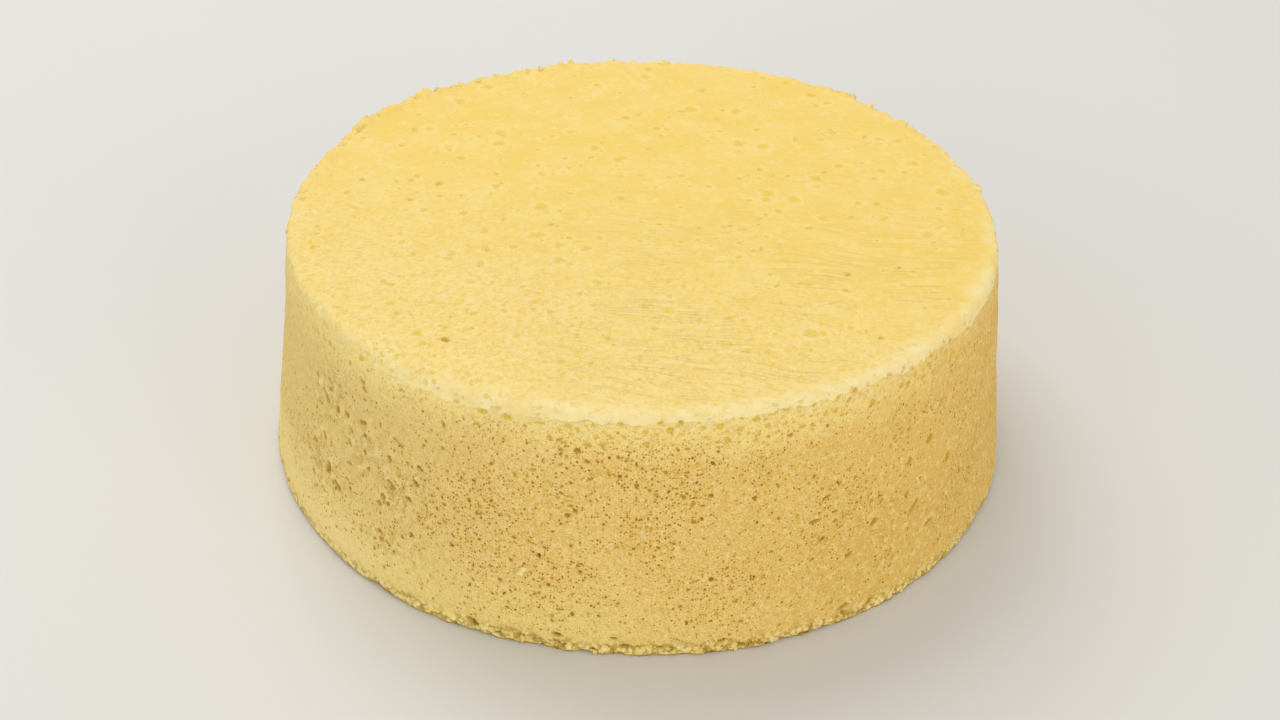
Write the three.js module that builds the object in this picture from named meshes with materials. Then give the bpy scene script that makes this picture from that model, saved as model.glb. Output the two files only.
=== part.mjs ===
// A plain round sponge cake, uncut and turned out of its pan upside down: a drum that widens
// towards its foot, with a nearly flat top, a small worn rim, a torn crumbly foot, shallow pits
// in the top and short tears in the side. It is one solid. Millimetres, +Z up, the base at z = 0
// and the cake's axis on Z. Angles are in degrees from +X towards +Y; the front faces -Y.
import * as THREE from 'three';
import { mergeVertices } from 'three/addons/utils/BufferGeometryUtils.js';

// Driving dimensions
const BASE_RADIUS = 90;
const TOP_RADIUS = 82.5;
const HEIGHT = 58;
const RIM_ROUNDING = 2.2;
const FOOT_INSET = 0.6;
const FOOT_HEIGHT = 5.5;

// How finely the drum is divided
const SEGMENTS = 150;
const SIDE_STEPS = 13;
const RIM_STEPS = 3;
const FOOT_RING_HEIGHTS = [0.9, 2.1, 3.6];
const TOP_RING_GAPS = [2.5, 3, 3.5, 4.5, 6, 7.5, 9, 11, 12, 12];

// Unevenness of the baked surface: the size of its waves and lumps, and how far they stand out
const WAVE = { size: 34, height: 0.5, seed: 11 };
const LUMP = { size: 7, height: 0.24, seed: 23 };
const FOOT_CRUMB = { size: 3.6, height: 1.1, seed: 37 };
const RIM_CRUMB = { size: 4.8, seed: 41 };

// Stretches of the rim: where each lies, how far round it reaches, how wide across it is, and how
// far it stands out or is worn down
const CRUMBLY_RIMS = [
  { angle: 126, reach: 42, width: 3.5, height: 2.3 },
  { angle: 36, reach: 26, width: 3.5, height: 1.4 },
];
const WORN_SHOULDER = { angle: -123, reach: 15, width: 4.5, depth: 2.6 };

// Tears and large pits in the side, by the height of their middle
const SIDE_PITS = [
  { angle: -143, height: 28, width: 2.6, depth: 1.1 },
  { angle: -140, height: 19.5, width: 3.4, depth: 1.4 },
  { angle: -144, height: 38.5, width: 2.4, depth: 1.0 },
  { angle: -127, height: 34.5, width: 2.2, depth: 0.8 },
  { angle: -98, height: 49, width: 1.8, depth: 0.8 },
  { angle: -42, height: 35, width: 2.2, depth: 0.9 },
  { angle: -38.5, height: 27, width: 2.2, depth: 0.9 },
  { angle: -46.5, height: 20.5, width: 2.4, depth: 0.8 },
];

// Soft pits in the top, by their distance from the axis
const TOP_PITS = [
  { angle: -125, radius: 70.5, width: 2.2, depth: 0.8 },
  { angle: 125, radius: 37.5, width: 2.6, depth: 0.6 },
  { angle: 169, radius: 50, width: 2.4, depth: 0.6 },
  { angle: 24.5, radius: 61, width: 2.4, depth: 0.6 },
  { angle: -72, radius: 32, width: 2.4, depth: 0.6 },
];

const radians = THREE.MathUtils.degToRad;

// A repeatable value from 0 to 1 for each corner of a lattice
function latticeValue(x, y, z, seed) {
  let h = Math.imul(x, 0x27d4eb2d) ^ Math.imul(y, 0x165667b1);
  h ^= Math.imul(z, 0x1b873593) ^ Math.imul(seed, 0x85ebca6b);
  h = Math.imul(h ^ (h >>> 15), 0x2c1b3c6d);
  h = Math.imul(h ^ (h >>> 12), 0x297a2d39);
  return ((h ^ (h >>> 15)) >>> 0) / 0xffffffff;
}

// Smooth noise from -1 to 1 whose lumps are about `size` across
function noise(point, size, seed) {
  const low = [point.x, point.y, point.z].map((value) => Math.floor(value / size));
  const part = [point.x, point.y, point.z].map((value, i) => {
    const t = value / size - low[i];
    return t * t * (3 - 2 * t);
  });
  let sum = 0;
  for (const dx of [0, 1]) {
    for (const dy of [0, 1]) {
      for (const dz of [0, 1]) {
        const weight =
          (dx ? part[0] : 1 - part[0]) * (dy ? part[1] : 1 - part[1]) * (dz ? part[2] : 1 - part[2]);
        sum += weight * latticeValue(low[0] + dx, low[1] + dy, low[2] + dz, seed);
      }
    }
  }
  return 2 * sum - 1;
}

// 1 at zero distance, falling smoothly to almost nothing at twice the width
function fade(distance, width) {
  return Math.exp(-((distance / width) ** 2));
}

// The smaller angle between two directions, in degrees
function turnBetween(a, b) {
  const turn = Math.abs(a - b) % 360;
  return Math.min(turn, 360 - turn);
}

function wallRadius(height) {
  return THREE.MathUtils.lerp(BASE_RADIUS, TOP_RADIUS, height / HEIGHT);
}

// Half of the cake's section, from the middle of the base round to the middle of the top
function sectionPoints() {
  const points = [new THREE.Vector2(0, 0), new THREE.Vector2(BASE_RADIUS - FOOT_INSET, 0)];
  for (const height of FOOT_RING_HEIGHTS) {
    const inset = FOOT_INSET * (1 - height / FOOT_HEIGHT) ** 3;
    points.push(new THREE.Vector2(wallRadius(height) - inset, height));
  }
  const rimBase = HEIGHT - RIM_ROUNDING;
  for (let i = 0; i <= SIDE_STEPS; i += 1) {
    const height = THREE.MathUtils.lerp(FOOT_HEIGHT, rimBase, i / SIDE_STEPS);
    points.push(new THREE.Vector2(wallRadius(height), height));
  }
  const rimCentre = wallRadius(rimBase) - RIM_ROUNDING;
  for (let i = 1; i <= RIM_STEPS; i += 1) {
    const angle = ((Math.PI / 2) * i) / RIM_STEPS;
    const radius = rimCentre + RIM_ROUNDING * Math.cos(angle);
    points.push(new THREE.Vector2(radius, rimBase + RIM_ROUNDING * Math.sin(angle)));
  }
  let radius = rimCentre;
  for (const gap of TOP_RING_GAPS) {
    radius -= gap;
    points.push(new THREE.Vector2(radius, HEIGHT));
  }
  points.push(new THREE.Vector2(0, HEIGHT));
  return points;
}

function placeOnSide(pit) {
  const radius = wallRadius(pit.height);
  const angle = radians(pit.angle);
  return new THREE.Vector3(radius * Math.cos(angle), radius * Math.sin(angle), pit.height);
}

function placeOnTop(pit) {
  const angle = radians(pit.angle);
  return new THREE.Vector3(pit.radius * Math.cos(angle), pit.radius * Math.sin(angle), HEIGHT);
}

const pits = [
  ...SIDE_PITS.map((pit) => ({ ...pit, centre: placeOnSide(pit) })),
  ...TOP_PITS.map((pit) => ({ ...pit, centre: placeOnTop(pit) })),
];

// Long low waves and the smaller lumps of the crumb, over the whole surface
function bakedUnevenness(point) {
  const waves = WAVE.height * noise(point, WAVE.size, WAVE.seed);
  return waves + LUMP.height * noise(point, LUMP.size, LUMP.seed);
}

// The torn, crumbly band round the foot
function footCrumbs(point) {
  const torn = THREE.MathUtils.smoothstep(FOOT_HEIGHT - point.z, 0, 0.8 * FOOT_HEIGHT);
  return FOOT_CRUMB.height * torn * noise(point, FOOT_CRUMB.size, FOOT_CRUMB.seed);
}

// Knobs of crumb along the back of the rim, and the rounder, worn shoulder at its front left
function rimWear(point) {
  const angle = THREE.MathUtils.radToDeg(Math.atan2(point.y, point.x));
  const fromRim = Math.hypot(Math.hypot(point.x, point.y) - TOP_RADIUS, point.z - HEIGHT);
  const knobs = Math.max(0, noise(point, RIM_CRUMB.size, RIM_CRUMB.seed));
  let raised = 0;
  for (const rim of CRUMBLY_RIMS) {
    raised += rim.height * knobs * fade(turnBetween(angle, rim.angle), rim.reach) * fade(fromRim, rim.width);
  }
  const worn = fade(turnBetween(angle, WORN_SHOULDER.angle), WORN_SHOULDER.reach);
  return raised - WORN_SHOULDER.depth * worn * fade(fromRim, WORN_SHOULDER.width);
}

function pitDepth(point) {
  let depth = 0;
  for (const pit of pits) {
    depth += pit.depth * fade(point.distanceTo(pit.centre), pit.width);
  }
  return depth;
}

// How far the real surface stands out from the plain drum at a point
function relief(point) {
  return bakedUnevenness(point) + footCrumbs(point) + rimWear(point) - pitDepth(point);
}

// Moves each vertex along its normal by the relief. The underside stays flat.
function roughen(geometry) {
  geometry.computeVertexNormals();
  const position = geometry.getAttribute('position');
  const normal = geometry.getAttribute('normal');
  const point = new THREE.Vector3();
  const outward = new THREE.Vector3();
  for (let i = 0; i < position.count; i += 1) {
    point.fromBufferAttribute(position, i);
    outward.fromBufferAttribute(normal, i);
    const onBase = point.z < 1e-6;
    if (onBase) {
      outward.set(point.x, point.y, 0).normalize();
    }
    point.addScaledVector(outward, relief(point));
    position.setXYZ(i, point.x, point.y, onBase ? 0 : Math.max(point.z, FOOT_RING_HEIGHTS[0] / 2));
  }
}

// Sets the middle of the cake's outline on the axis
function centreOnAxis(geometry) {
  geometry.computeBoundingBox();
  const centre = geometry.boundingBox.getCenter(new THREE.Vector3());
  geometry.translate(-centre.x, -centre.y, 0);
}

function makeCake() {
  const turned = new THREE.LatheGeometry(sectionPoints(), SEGMENTS);
  turned.rotateX(Math.PI / 2);
  turned.deleteAttribute('normal');
  turned.deleteAttribute('uv');
  const geometry = mergeVertices(turned, 1e-3);
  roughen(geometry);
  centreOnAxis(geometry);
  geometry.computeVertexNormals();
  const crumb = new THREE.MeshStandardMaterial({ color: 0xeccf82, roughness: 0.85, metalness: 0 });
  const cake = new THREE.Mesh(geometry, crumb);
  cake.name = 'sponge_cake';
  return cake;
}

const part = new THREE.Group();
part.add(makeCake());

export default part;
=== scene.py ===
# The looks of a plain round sponge cake: one dense closed body with real pores and tears, the
# crumbs stuck to it, and a plain studio.
# Geometry is worked out in millimetres in the cake's own frame, base at z = 0, and then scaled.
# Angles are in degrees from +X towards +Y; the side that the photograph shows faces -Y.
import math
from functools import reduce
from types import SimpleNamespace as Spec

import bmesh
import bpy
import numpy as np
from mathutils import Euler, Matrix, Vector
from mathutils.geometry import delaunay_2d_cdt


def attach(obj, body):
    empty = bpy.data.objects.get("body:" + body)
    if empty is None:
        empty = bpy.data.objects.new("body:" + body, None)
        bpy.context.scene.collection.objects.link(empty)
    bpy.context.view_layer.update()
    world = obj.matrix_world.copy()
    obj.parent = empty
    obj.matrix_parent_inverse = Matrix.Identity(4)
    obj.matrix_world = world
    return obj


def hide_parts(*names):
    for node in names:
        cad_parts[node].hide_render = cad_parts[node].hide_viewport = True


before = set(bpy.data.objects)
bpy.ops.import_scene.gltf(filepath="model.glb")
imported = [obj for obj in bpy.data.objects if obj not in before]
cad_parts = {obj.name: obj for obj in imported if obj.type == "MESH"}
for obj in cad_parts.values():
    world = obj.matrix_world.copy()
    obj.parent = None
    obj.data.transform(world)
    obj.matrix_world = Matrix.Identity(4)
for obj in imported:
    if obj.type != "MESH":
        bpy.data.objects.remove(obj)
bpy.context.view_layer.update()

MM = 0.001
SEED = 7

# The cake's form, as in its solid
BASE_RADIUS = 90
TOP_RADIUS = 82.5
HEIGHT = 58
RIM_ROUNDING = 2.2
FOOT_INSET = 0.6
FOOT_UNDERCUT = 1.8
FOOT_HEIGHT = 5.5

# Unevenness of the baked surface: the size of its waves and lumps, and how far they stand out
WAVE = Spec(size=34, height=0.5, seed=11)
LUMP = Spec(size=7, height=0.24, seed=23)
FOOT_CRUMB = Spec(size=3.6, height=0.6, seed=37)
RIM_CRUMB = Spec(size=4.8, seed=41)
CRUMBLY_RIMS = (Spec(angle=126, reach=42, height=2.3), Spec(angle=36, reach=26, height=1.4))
WORN_SHOULDER = Spec(angle=-123, reach=15, width=4.5, depth=2.6)

# Finer relief that only the visible mesh holds. The foot is smoother round two angles, given with
# their reach
CRUMB_GRAIN = Spec(size=2.2, height=0.07, seed=53)
TORN_LUMP = Spec(size=3, height=0.22, seed=57)
FOOT_NODULE = Spec(size=1.4, height=0.6, seed=59)
FOOT_CREVICE = Spec(length=6, thickness=1.6, depth=0.9, seed=61)
SMOOTH_FEET = ((-155, 38), (-20, 20))
RIM_NODULE = Spec(size=2, share=0.7, rest=0.06, width=3.5, seed=67)
SKIN_EDGE = Spec(drop=2, ragged=1.15, worn_drop=1.5, stand=0.05, seed=89)

# Spacing of the mesh's points: on the top, the rim, the skin's edge, the side and the foot, the
# heights where the last three begin, and the jitter as a share of it. Then the spacing in tears,
# how far a tear is meshed for its size, and the underside's spacing
SPACINGS = (1.6, 0.7, 0.5, 1.4, 0.55)
SPACING_HEIGHTS = (HEIGHT - 0.6, HEIGHT - 4.5, FOOT_HEIGHT)
JITTER = 0.25
TEAR_SPACING = 0.36
TEAR_REACH = 1.6
UNDERSIDE_SPACING = 9
EDGE_POINTS = 1000

# Pores: how many are tried, their radii, how rare large ones are, their depth for their radius,
# how round they are, and how brown a small one may be painted, partly as shade in its depth
SIDE_PORES = Spec(
    tries=6000, radius=(0.2, 0.75), rarity=4.5, depth=(0.9, 1.5), round=(0.5, 1), dark=1)
RIM_PITS = Spec(
    tries=3600, radius=(0.3, 1), rarity=2.6, depth=(0.35, 0.65), round=(0.45, 0.95), dark=0.35)
TOP_PITS = Spec(
    tries=230, radius=(0.4, 1.35), rarity=3, depth=(0.2, 0.4), round=(0.55, 1), dark=0)
RIM_PIT_HEIGHTS = (50.6, 56.4)
SLITS = Spec(angle=-42, reach=24, share=0.6, slant=-0.7, round=(0.25, 0.5))
SLIVERS = Spec(share=0.12, round=0.35)
PORE_MARGIN = 0.16
WIDE_PORE = 0.36
LARGE_PORE = 0.8
RASTER_CELL = 0.2

# Tears and large pits: angle and height, half length and half width, the long axis's turn from
# level, the depth, and how far the torn lip stands out
SIDE_TEARS = (
    (-143.2, 28, 1.5, 1.1, 90, 1, 0.4), (-141.8, 20.6, 2.2, 1.3, 80, 1.2, 0.2),
    (-139.2, 18.6, 2, 1.4, -30, 1.4, 0.3), (-143.4, 38.1, 2.6, 0.8, -48, 0.9, 0.4),
    (-139, 41.5, 1.6, 0.7, -40, 0.8, 0.3), (-139.9, 37.2, 1.3, 1, 80, 0.9, 0.2),
    (-137.6, 38, 1.4, 0.8, -30, 1, 0.2), (-136.4, 35.2, 1.4, 0.6, -35, 0.8, 0.3),
    (-133.7, 49, 1.1, 0.8, -20, 0.8, 0.3), (-133.3, 47.3, 1.1, 0.6, -30, 0.7, 0.2),
    (-133.6, 38.9, 1.4, 0.6, 15, 1, 0.2), (-127.8, 34.2, 0.9, 0.8, 30, 1.1, 0.2),
    (-126, 39.2, 1.9, 0.5, -25, 1.1, 0.3), (-122.1, 35.4, 0.9, 0.7, -30, 1.1, 0.2),
    (-127.2, 28.3, 1.7, 0.9, -45, 1.2, 0.5), (-122.6, 31.4, 1.1, 0.8, -20, 0.9, 0.4),
    (-123.9, 26.8, 1.3, 0.8, -20, 1.2, 0.4), (-129.3, 22.1, 0.9, 0.9, 0, 0.9, 0.3),
    (-128.9, 15.1, 1.1, 0.8, -20, 0.9, 0.2), (-123.1, 18.5, 1, 0.8, -20, 1.2, 0.3),
    (-118.2, 48.2, 1, 0.4, -60, 1.1, 0.2), (-98.3, 48.9, 0.8, 0.7, 0, 1.1, 0.1),
    (-97, 46.7, 0.8, 0.3, 8, 0.9, 0.1), (-62.8, 33.5, 1.2, 0.5, 12, 0.8, 0.1),
    (-61, 36, 1.1, 0.4, -55, 1, 0.1), (-59.1, 38.6, 1.1, 0.4, 30, 1, 0.2),
    (-64.7, 28.4, 1.6, 0.45, 10, 0.8, 0.1), (-63.5, 23.3, 1.3, 0.6, 15, 1, 0.1),
    (-59, 17, 1.2, 0.6, 30, 0.8, 0.1), (-54.6, 22.6, 1.3, 0.9, 15, 0.8, 0.1),
    (-61.5, 29.4, 0.7, 0.35, 25, 1, 0.1), (-53.3, 27, 1, 0.6, 60, 1.1, 0.1),
    (-42.7, 35.2, 1.1, 1.3, 60, 0.8, 0.1), (-38.1, 26.8, 1.5, 1.6, 90, 0.9, 0.1),
    (-47.5, 33.1, 1.2, 1, 60, 0.7, 0.1), (-47.9, 25, 0.9, 0.8, -70, 0.7, 0.1),
    (-46.3, 20.9, 2.3, 0.9, 45, 1, 0.2), (-39.7, 43.1, 0.8, 0.4, 10, 0.9, 0.1),
    (-21.3, 52, 1.8, 0.4, 85, 0.5, 0.1), (-21.9, 45, 1.7, 0.9, 86, 0.8, 0.1),
    (-23.4, 41.2, 1.4, 0.5, 80, 0.6, 0.1), (-24.8, 35.6, 3, 0.4, 75, 0.5, 0.1),
    (-28, 24.7, 3.3, 0.5, 75, 0.6, 0.1),
)
RIM_TEARS = (
    (-112.2, 54.4, 1.5, 0.8, 5, 0.45, 0.5), (-110, 56, 0.9, 0.4, 10, 0.4, 0.2),
    (-108.4, 54.4, 1.5, 0.7, -12, 0.45, 0.5), (-103.7, 54.3, 1.6, 0.45, 3, 0.35, 0.2),
    (-105.7, 53, 0.6, 0.5, 0, 0.9, 0.1), (-92.5, 55.8, 0.9, 0.5, 0, 0.6, 0.2),
    (-87, 56.2, 1, 0.5, 15, 0.8, 0.2), (-84.3, 56, 0.8, 0.6, 80, 0.8, 0.2),
    (-58, 56.2, 1, 0.7, 20, 0.8, 0.3), (-59.2, 54.5, 0.8, 0.6, 40, 0.9, 0.2),
    (-49, 56.4, 0.8, 0.5, 30, 0.7, 0.2), (-45.4, 55.9, 1, 0.4, 30, 0.7, 0.3),
)
FOOT_TEARS = (
    (-112.6, 2.7, 2.4, 0.6, -20, 1.8, 0.3), (-108.8, 1.6, 1.2, 0.5, -10, 1.5, 0.2),
    (-100.4, 4, 1.6, 0.6, -12, 1.7, 0.3), (-92.7, 4.4, 0.8, 0.4, 0, 1.2, 0.1),
    (-91.2, 2.4, 1.6, 0.4, 5, 1.4, 0.2), (-78, 3.4, 1.5, 0.5, 8, 1.5, 0.3),
)

# Tears strewn by chance: how many and where, their half length, their width for their length, how
# far they turn from level, the depth, the lip, and how brown they are
WALL_STRAYS = Spec(
    number=30, angle=(-50, 175), height=(9, 52), length=(0.7, 1.6), width=(0.35, 0.7), turn=60,
    depth=(0.8, 1.4), lip=(0.1, 0.5), dark=0.4)
FOOT_STRAYS = Spec(
    number=22, angle=(-70, 240), height=(1.5, 4.5), length=(0.8, 2.3), width=(0.2, 0.5), turn=20,
    depth=(1, 1.8), lip=(0.1, 0.3), dark=0.7)
PATCH_TEARS = Spec(
    length=(0.4, 1.3), width=(0.45, 0.9), turn=70, depth=(0.5, 1.1), lip=(0.1, 0.4), dark=0.15)

# Patches of wall that came away ragged: angle, height, how far they reach round the cake and up,
# and how many small tears each has
TORN_PATCHES = (
    (-142, 40, 7, 7, 6), (-143.5, 21, 8, 8, 8), (-133, 32, 6, 9, 5),
    (-125.5, 27, 6, 6, 5), (-126, 14, 8, 4, 5), (22, 30, 8, 8, 5),
    (74, 18, 9, 7, 5), (112, 37, 8, 7, 6), (160, 24, 7, 8, 6),
)

# Soft pits of the top that show in the photograph: angle, distance from the axis, radius, dark
TOP_MARKS = (
    (169, 50, 1.4, 0), (171, 68.5, 0.9, 0), (168.7, 57, 0.9, 0), (178.6, 55, 1, 0),
    (-125, 70.5, 1.35, 1), (-137.3, 70.5, 0.9, 0.7), (-34.4, 74, 0.5, 0.7), (-47.1, 69.7, 0.45, 0.7),
    (-46.8, 73.6, 1, 0), (-32.4, 54, 1.1, 0), (-24, 62.8, 0.9, 0), (-88.8, 66, 0.3, 0.9),
)

# Bits of crumb fused to the cake: how many, what share lies on the first crumbly rim, where they
# sit, and how far they stand out for their radius. Three numbers give the least value, how far it
# goes up, and how rare the high ones are. Then one pale fleck: its angle, height, radius and stand
FOOT_BITS = Spec(number=380, height=(0.7, 3.4, 1.3), radius=(0.3, 0.4, 2), stand=(-0.8, -0.2))
RIM_BITS = Spec(number=90, share=0.75, past=(-0.5, 3.2), radius=(0.4, 1, 2), stand=(-0.7, -0.3))
WALL_BITS = Spec(number=26, height=(8, 52), radius=(0.25, 0.45), stand=-0.3)
PALE_FLECK = (-105.6, 18.7, 0.95, 0.2)

# The camera that took the photograph, fitted to the cake's outline
CAMERA_RANGE = 5 * TOP_RADIUS
CAMERA_ELEVATION = 32.88
CAMERA_PITCH = 34.57
CAMERA_ROLL = 1.22
FOCAL_PIXELS = 1682.4
PHOTO_WIDTH = 1280
SENSOR_MM = 36


def lattice_value(corners, seed):
    """A repeatable value from 0 to 1 for each corner of a lattice."""
    h = np.full(len(corners), (seed * 0x85EBCA6B) & 0xFFFFFFFF, np.uint32)
    for axis, key in zip(corners.T, (0x27D4EB2D, 0x165667B1, 0x1B873593)):
        h ^= axis.astype(np.int32).view(np.uint32) * np.uint32(key)
    h = (h ^ (h >> np.uint32(15))) * np.uint32(0x2C1B3C6D)
    h = (h ^ (h >> np.uint32(12))) * np.uint32(0x297A2D39)
    return (h ^ (h >> np.uint32(15))) / 0xFFFFFFFF


def noise(points, size, seed):
    """Smooth noise from -1 to 1, with lumps about size across."""
    cells = points / np.asarray(size, float)
    low = np.floor(cells)
    part = cells - low
    part = part * part * (3 - 2 * part)
    total = np.zeros(len(points))
    for corner in np.ndindex(2, 2, 2):
        weight = np.prod(np.where(corner, part, 1 - part), axis=1)
        total += weight * lattice_value(low + corner, seed)
    return 2 * total - 1


def nodules(points, size, seed):
    """Rounded lumps side by side: 1 in their middles, 0 in their creases."""
    cells = points / size
    low = np.floor(cells)
    nearest = np.full(len(points), np.inf)
    for corner in np.ndindex(3, 3, 3):
        cell = low + corner - 1
        away = np.zeros(len(points))
        for axis in range(3):
            shift = 0.1 + 0.8 * lattice_value(cell, seed + axis)
            away += (cells[:, axis] - cell[:, axis] - shift) ** 2
        nearest = np.minimum(nearest, away)
    return np.clip(1 - nearest / 0.6, 0, 1)


def fade(distance, width):
    return np.exp(-((distance / width) ** 2))


def smoothstep(low, high, value):
    t = np.clip((value - low) / (high - low), 0, 1)
    return t * t * (3 - 2 * t)


def turn_between(a, b):
    turn = np.abs(a - b) % 360
    return np.minimum(turn, 360 - turn)


def angle_of(points):
    return np.degrees(np.arctan2(points[:, 1], points[:, 0]))


def facing(points, angle, reach):
    """1 at an angle round the cake, fading over some degrees."""
    return fade(turn_between(angle_of(points), angle), reach)


def turned(u, v, angle):
    cos, sin = math.cos(angle), math.sin(angle)
    return u * cos - v * sin, u * sin + v * cos


def wall_radius(height):
    return BASE_RADIUS + (TOP_RADIUS - BASE_RADIUS) * height / HEIGHT


class Profile:
    """Half of the cake's section, from the middle of the top over the rim to the base.

    s is the distance along it. spread is a point's radius when the whole surface is opened out
    flat, so that small things keep their shape."""

    STEP = 0.05

    def __init__(self):
        rim_base = HEIGHT - RIM_ROUNDING
        rim_centre = wall_radius(rim_base) - RIM_ROUNDING
        flat = np.arange(0, rim_centre, self.STEP)
        turn = np.linspace(0, np.pi / 2, 80)
        heights = np.linspace(rim_base, 0, 1200)[1:]
        inset = FOOT_INSET * np.clip(1 - heights / FOOT_UNDERCUT, 0, 1) ** 2
        bend = rim_centre + RIM_ROUNDING * np.sin(turn)
        self.radius = np.concatenate((flat, bend, wall_radius(heights) - inset))
        drop = rim_base + RIM_ROUNDING * np.cos(turn)
        self.z = np.concatenate((np.full(len(flat), HEIGHT), drop, heights))
        steps = np.hypot(np.diff(self.radius), np.diff(self.z))
        self.s = np.concatenate(([0], np.cumsum(steps)))
        self.rim_start = rim_centre
        self.end = self.s[-1]
        self.spread = self.opened_out(len(flat) - 1)
        self.lean = np.arctan2(np.gradient(self.radius, self.s), -np.gradient(self.z, self.s))

    def opened_out(self, last_flat):
        spread = self.radius.copy()
        rate = 1 / np.maximum(self.radius[last_flat:], 1)
        steps = np.diff(self.s[last_flat:])
        growth = np.concatenate(([0], np.cumsum((rate[1:] + rate[:-1]) / 2 * steps)))
        spread[last_flat:] = self.radius[last_flat] * np.exp(growth)
        return spread

    def s_at_height(self, height):
        past_rim = self.s >= self.rim_start
        return float(np.interp(-height, -self.z[past_rim], self.s[past_rim]))

    def radius_at(self, s):
        return np.interp(s, self.s, self.radius)

    def scale_at(self, s):
        """How much larger things are when opened out than on the cake."""
        return np.interp(s, self.s, self.spread) / np.maximum(self.radius_at(s), 1e-6)

    def open_out(self, theta, s):
        spread = np.interp(s, self.s, self.spread)
        return np.column_stack((spread * np.cos(theta), spread * np.sin(theta)))

    def nudged(self, theta, s, across, along):
        """Opened out places some millimetres round the cake and along its section."""
        out = np.array([math.cos(theta), math.sin(theta)])
        side = np.array([-out[1], out[0]])
        here = np.interp(s, self.s, self.spread) * out
        scale = self.scale_at(s)
        return here + scale * (along[:, None] * out + across[:, None] * side)

    def fold_back(self, flat):
        s = np.interp(np.hypot(*flat.T), self.spread, self.s)
        return np.arctan2(flat[:, 1], flat[:, 0]), s

    def place(self, theta, s):
        """Points on the plain drum and their outward directions."""
        radius = self.radius_at(s)
        lean = np.interp(s, self.s, self.lean)
        cos, sin = np.cos(theta), np.sin(theta)
        height = np.interp(s, self.s, self.z)
        points = np.column_stack((radius * cos, radius * sin, height))
        upward = np.sin(lean) * smoothstep(0, 2, height)
        outward = np.column_stack((np.cos(lean) * cos, np.cos(lean) * sin, upward))
        return points, outward


profile = Profile()


def lumpy(points, lumps):
    return lumps.height * noise(points, lumps.size, lumps.seed)


def foot_torn(points):
    """How torn a point is: 0 on the wall, 1 where the foot crumbled the most."""
    whole = sum(facing(points, *foot) for foot in SMOOTH_FEET)
    patchy = 0.8 + 0.2 * noise(points * (1, 1, 0), 14, 63)
    return patchy * (1 - 0.88 * whole) * smoothstep(0, 0.8 * FOOT_HEIGHT, FOOT_HEIGHT - points[:, 2])


def foot_creases(points):
    """How deep a point lies in the foot's crevices and between its nodules, 0 to 1."""
    cell = (FOOT_CREVICE.length, FOOT_CREVICE.length, FOOT_CREVICE.thickness)
    ridge = 1 - np.abs(noise(points, cell, FOOT_CREVICE.seed))
    packed = nodules(points, FOOT_NODULE.size, FOOT_NODULE.seed)
    return smoothstep(0.88, 0.98, ridge), 1 - packed


def foot_crumbs(points):
    """The torn band round the foot: lumps, finer nodules and level crevices."""
    torn = foot_torn(points)
    crevice, crease = foot_creases(points)
    fine = FOOT_NODULE.height * (0.6 - crease) - FOOT_CREVICE.depth * crevice
    return torn * lumpy(points, FOOT_CRUMB) + torn * fine


def rim_distance(points):
    x, y, z = points.T
    return np.hypot(np.hypot(x, y) - TOP_RADIUS, z - HEIGHT)


def rim_wear(points):
    """Knobs of crumb along the back of the rim."""
    near_rim = fade(rim_distance(points), RIM_NODULE.width)
    knobs = np.maximum(0, noise(points, RIM_CRUMB.size, RIM_CRUMB.seed))
    packed = nodules(points, RIM_NODULE.size, RIM_NODULE.seed) - 0.5
    raised = RIM_NODULE.rest * near_rim * packed
    for rim in CRUMBLY_RIMS:
        crumbly = facing(points, rim.angle, rim.reach) * near_rim
        raised += rim.height * crumbly * (knobs + RIM_NODULE.share * packed)
    return raised


def at_shoulder(points, widened=1):
    """1 at the angle of the worn shoulder, fading over its reach."""
    return facing(points, WORN_SHOULDER.angle, widened * WORN_SHOULDER.reach)


def worn_away(points):
    """How far the shoulder is worn down and in, on a slant."""
    near_rim = fade(rim_distance(points), WORN_SHOULDER.width)
    return WORN_SHOULDER.depth * at_shoulder(points) * near_rim


def above_skin_edge(points):
    """How many millimetres a point lies above the torn edge of the top's skin."""
    level = points * (1, 1, 0)
    seed = SKIN_EDGE.seed
    ragged = 0.5 * noise(level, 9, seed) + 0.35 * noise(level, 2.6, seed + 1)
    ragged = ragged + 0.3 * noise(points, 1.1, seed + 2)
    drop = SKIN_EDGE.drop + SKIN_EDGE.ragged * ragged
    drop = drop + SKIN_EDGE.worn_drop * at_shoulder(points)
    return points[:, 2] - (HEIGHT - drop)


def skin_cover(points):
    """How far the skin covers a point, and how pale and torn it is at its edge."""
    above = above_skin_edge(points)
    cover = smoothstep(-0.9, 0.9, above)
    patches = smoothstep(-0.2, 0.5, noise(points, 5, SKIN_EDGE.seed + 3))
    return cover, 0.6 * (patches * fade(above - 0.35, 0.4)) * cover


def skin_stand(points):
    """The thickness of the skin, which shows where it ends."""
    above = above_skin_edge(points)
    stand = SKIN_EDGE.stand * (1 - 0.9 * at_shoulder(points, 2))
    return stand * smoothstep(-0.25, 0.25, above) * fade(np.maximum(above, 0), 1.4)


def ragged_patches(points):
    """1 in the middle of a patch of wall that came away ragged, fading to 0."""
    ragged = 0
    for angle, height, round_reach, up_reach, _ in TORN_PATCHES:
        turn = np.radians(turn_between(angle_of(points), angle)) * TOP_RADIUS / round_reach
        ragged = np.maximum(ragged, fade(np.hypot(turn, (points[:, 2] - height) / up_reach), 1.1))
    return ragged


def relief(points):
    """How far the surface stands out from the plain drum, but for pores and tears."""
    baked = lumpy(points, WAVE) + lumpy(points, LUMP) + lumpy(points, CRUMB_GRAIN)
    torn = ragged_patches(points) * lumpy(points, TORN_LUMP) + foot_crumbs(points)
    return baked + torn + rim_wear(points) + skin_stand(points)


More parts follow.
